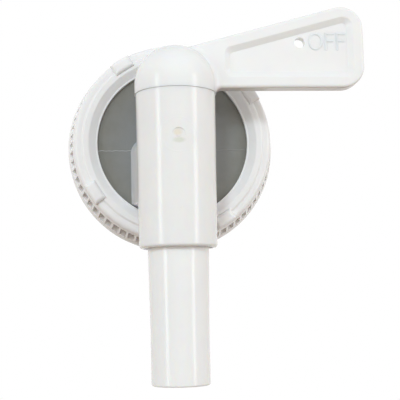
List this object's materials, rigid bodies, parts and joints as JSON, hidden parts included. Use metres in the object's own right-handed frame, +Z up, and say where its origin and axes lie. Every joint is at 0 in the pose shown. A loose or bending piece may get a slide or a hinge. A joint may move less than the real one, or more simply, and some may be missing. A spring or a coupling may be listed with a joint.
{
  "type": "jerrycan dispensing tap",
  "caption": "White plastic dispensing tap: screw ring for a container neck, upright barrel with a domed flag lever that turns the spout tube to open or shut the flow.",
  "frame": {"origin": "on the axis of the screw ring, at the plane where the neck of the container seals on the gasket", "axes": "+X to the right with the lever shut, +Y along the ring axis into the container, +Z up"},
  "size_m": [0.0978, 0.0477, 0.1208],
  "materials": {
    "ring_plastic": "satin moulded polyethylene, warm white",
    "body_plastic": "satin natural polyethylene, grey and translucent where thin",
    "rotor_plastic": "gloss white moulded polyethylene",
    "gasket_rubber": "matt light grey sealing washer",
    "seal_rubber": "black rubber O-ring"
  },
  "bodies": {
    "tap": {"tap_body": "body_plastic", "neck_gasket": "gasket_rubber"},
    "ring": {"screw_ring": "ring_plastic"},
    "rotor": {"spout_tube": "rotor_plastic", "lever_cap": "rotor_plastic", "upper_seal_ring": "seal_rubber", "lower_seal_ring": "seal_rubber"}
  },
  "joints": [
    {"name": "ring_spin", "type": "hinge", "parent": "tap", "child": "ring", "pos_m": [0, 0, 0], "axis": [0, 1, 0], "continuous": true},
    {"name": "lever_turn", "type": "hinge", "parent": "tap", "child": "rotor", "pos_m": [0, -0.02379, 0], "axis": [0, 0, -1], "range_deg": [0, 180]}
  ]
}
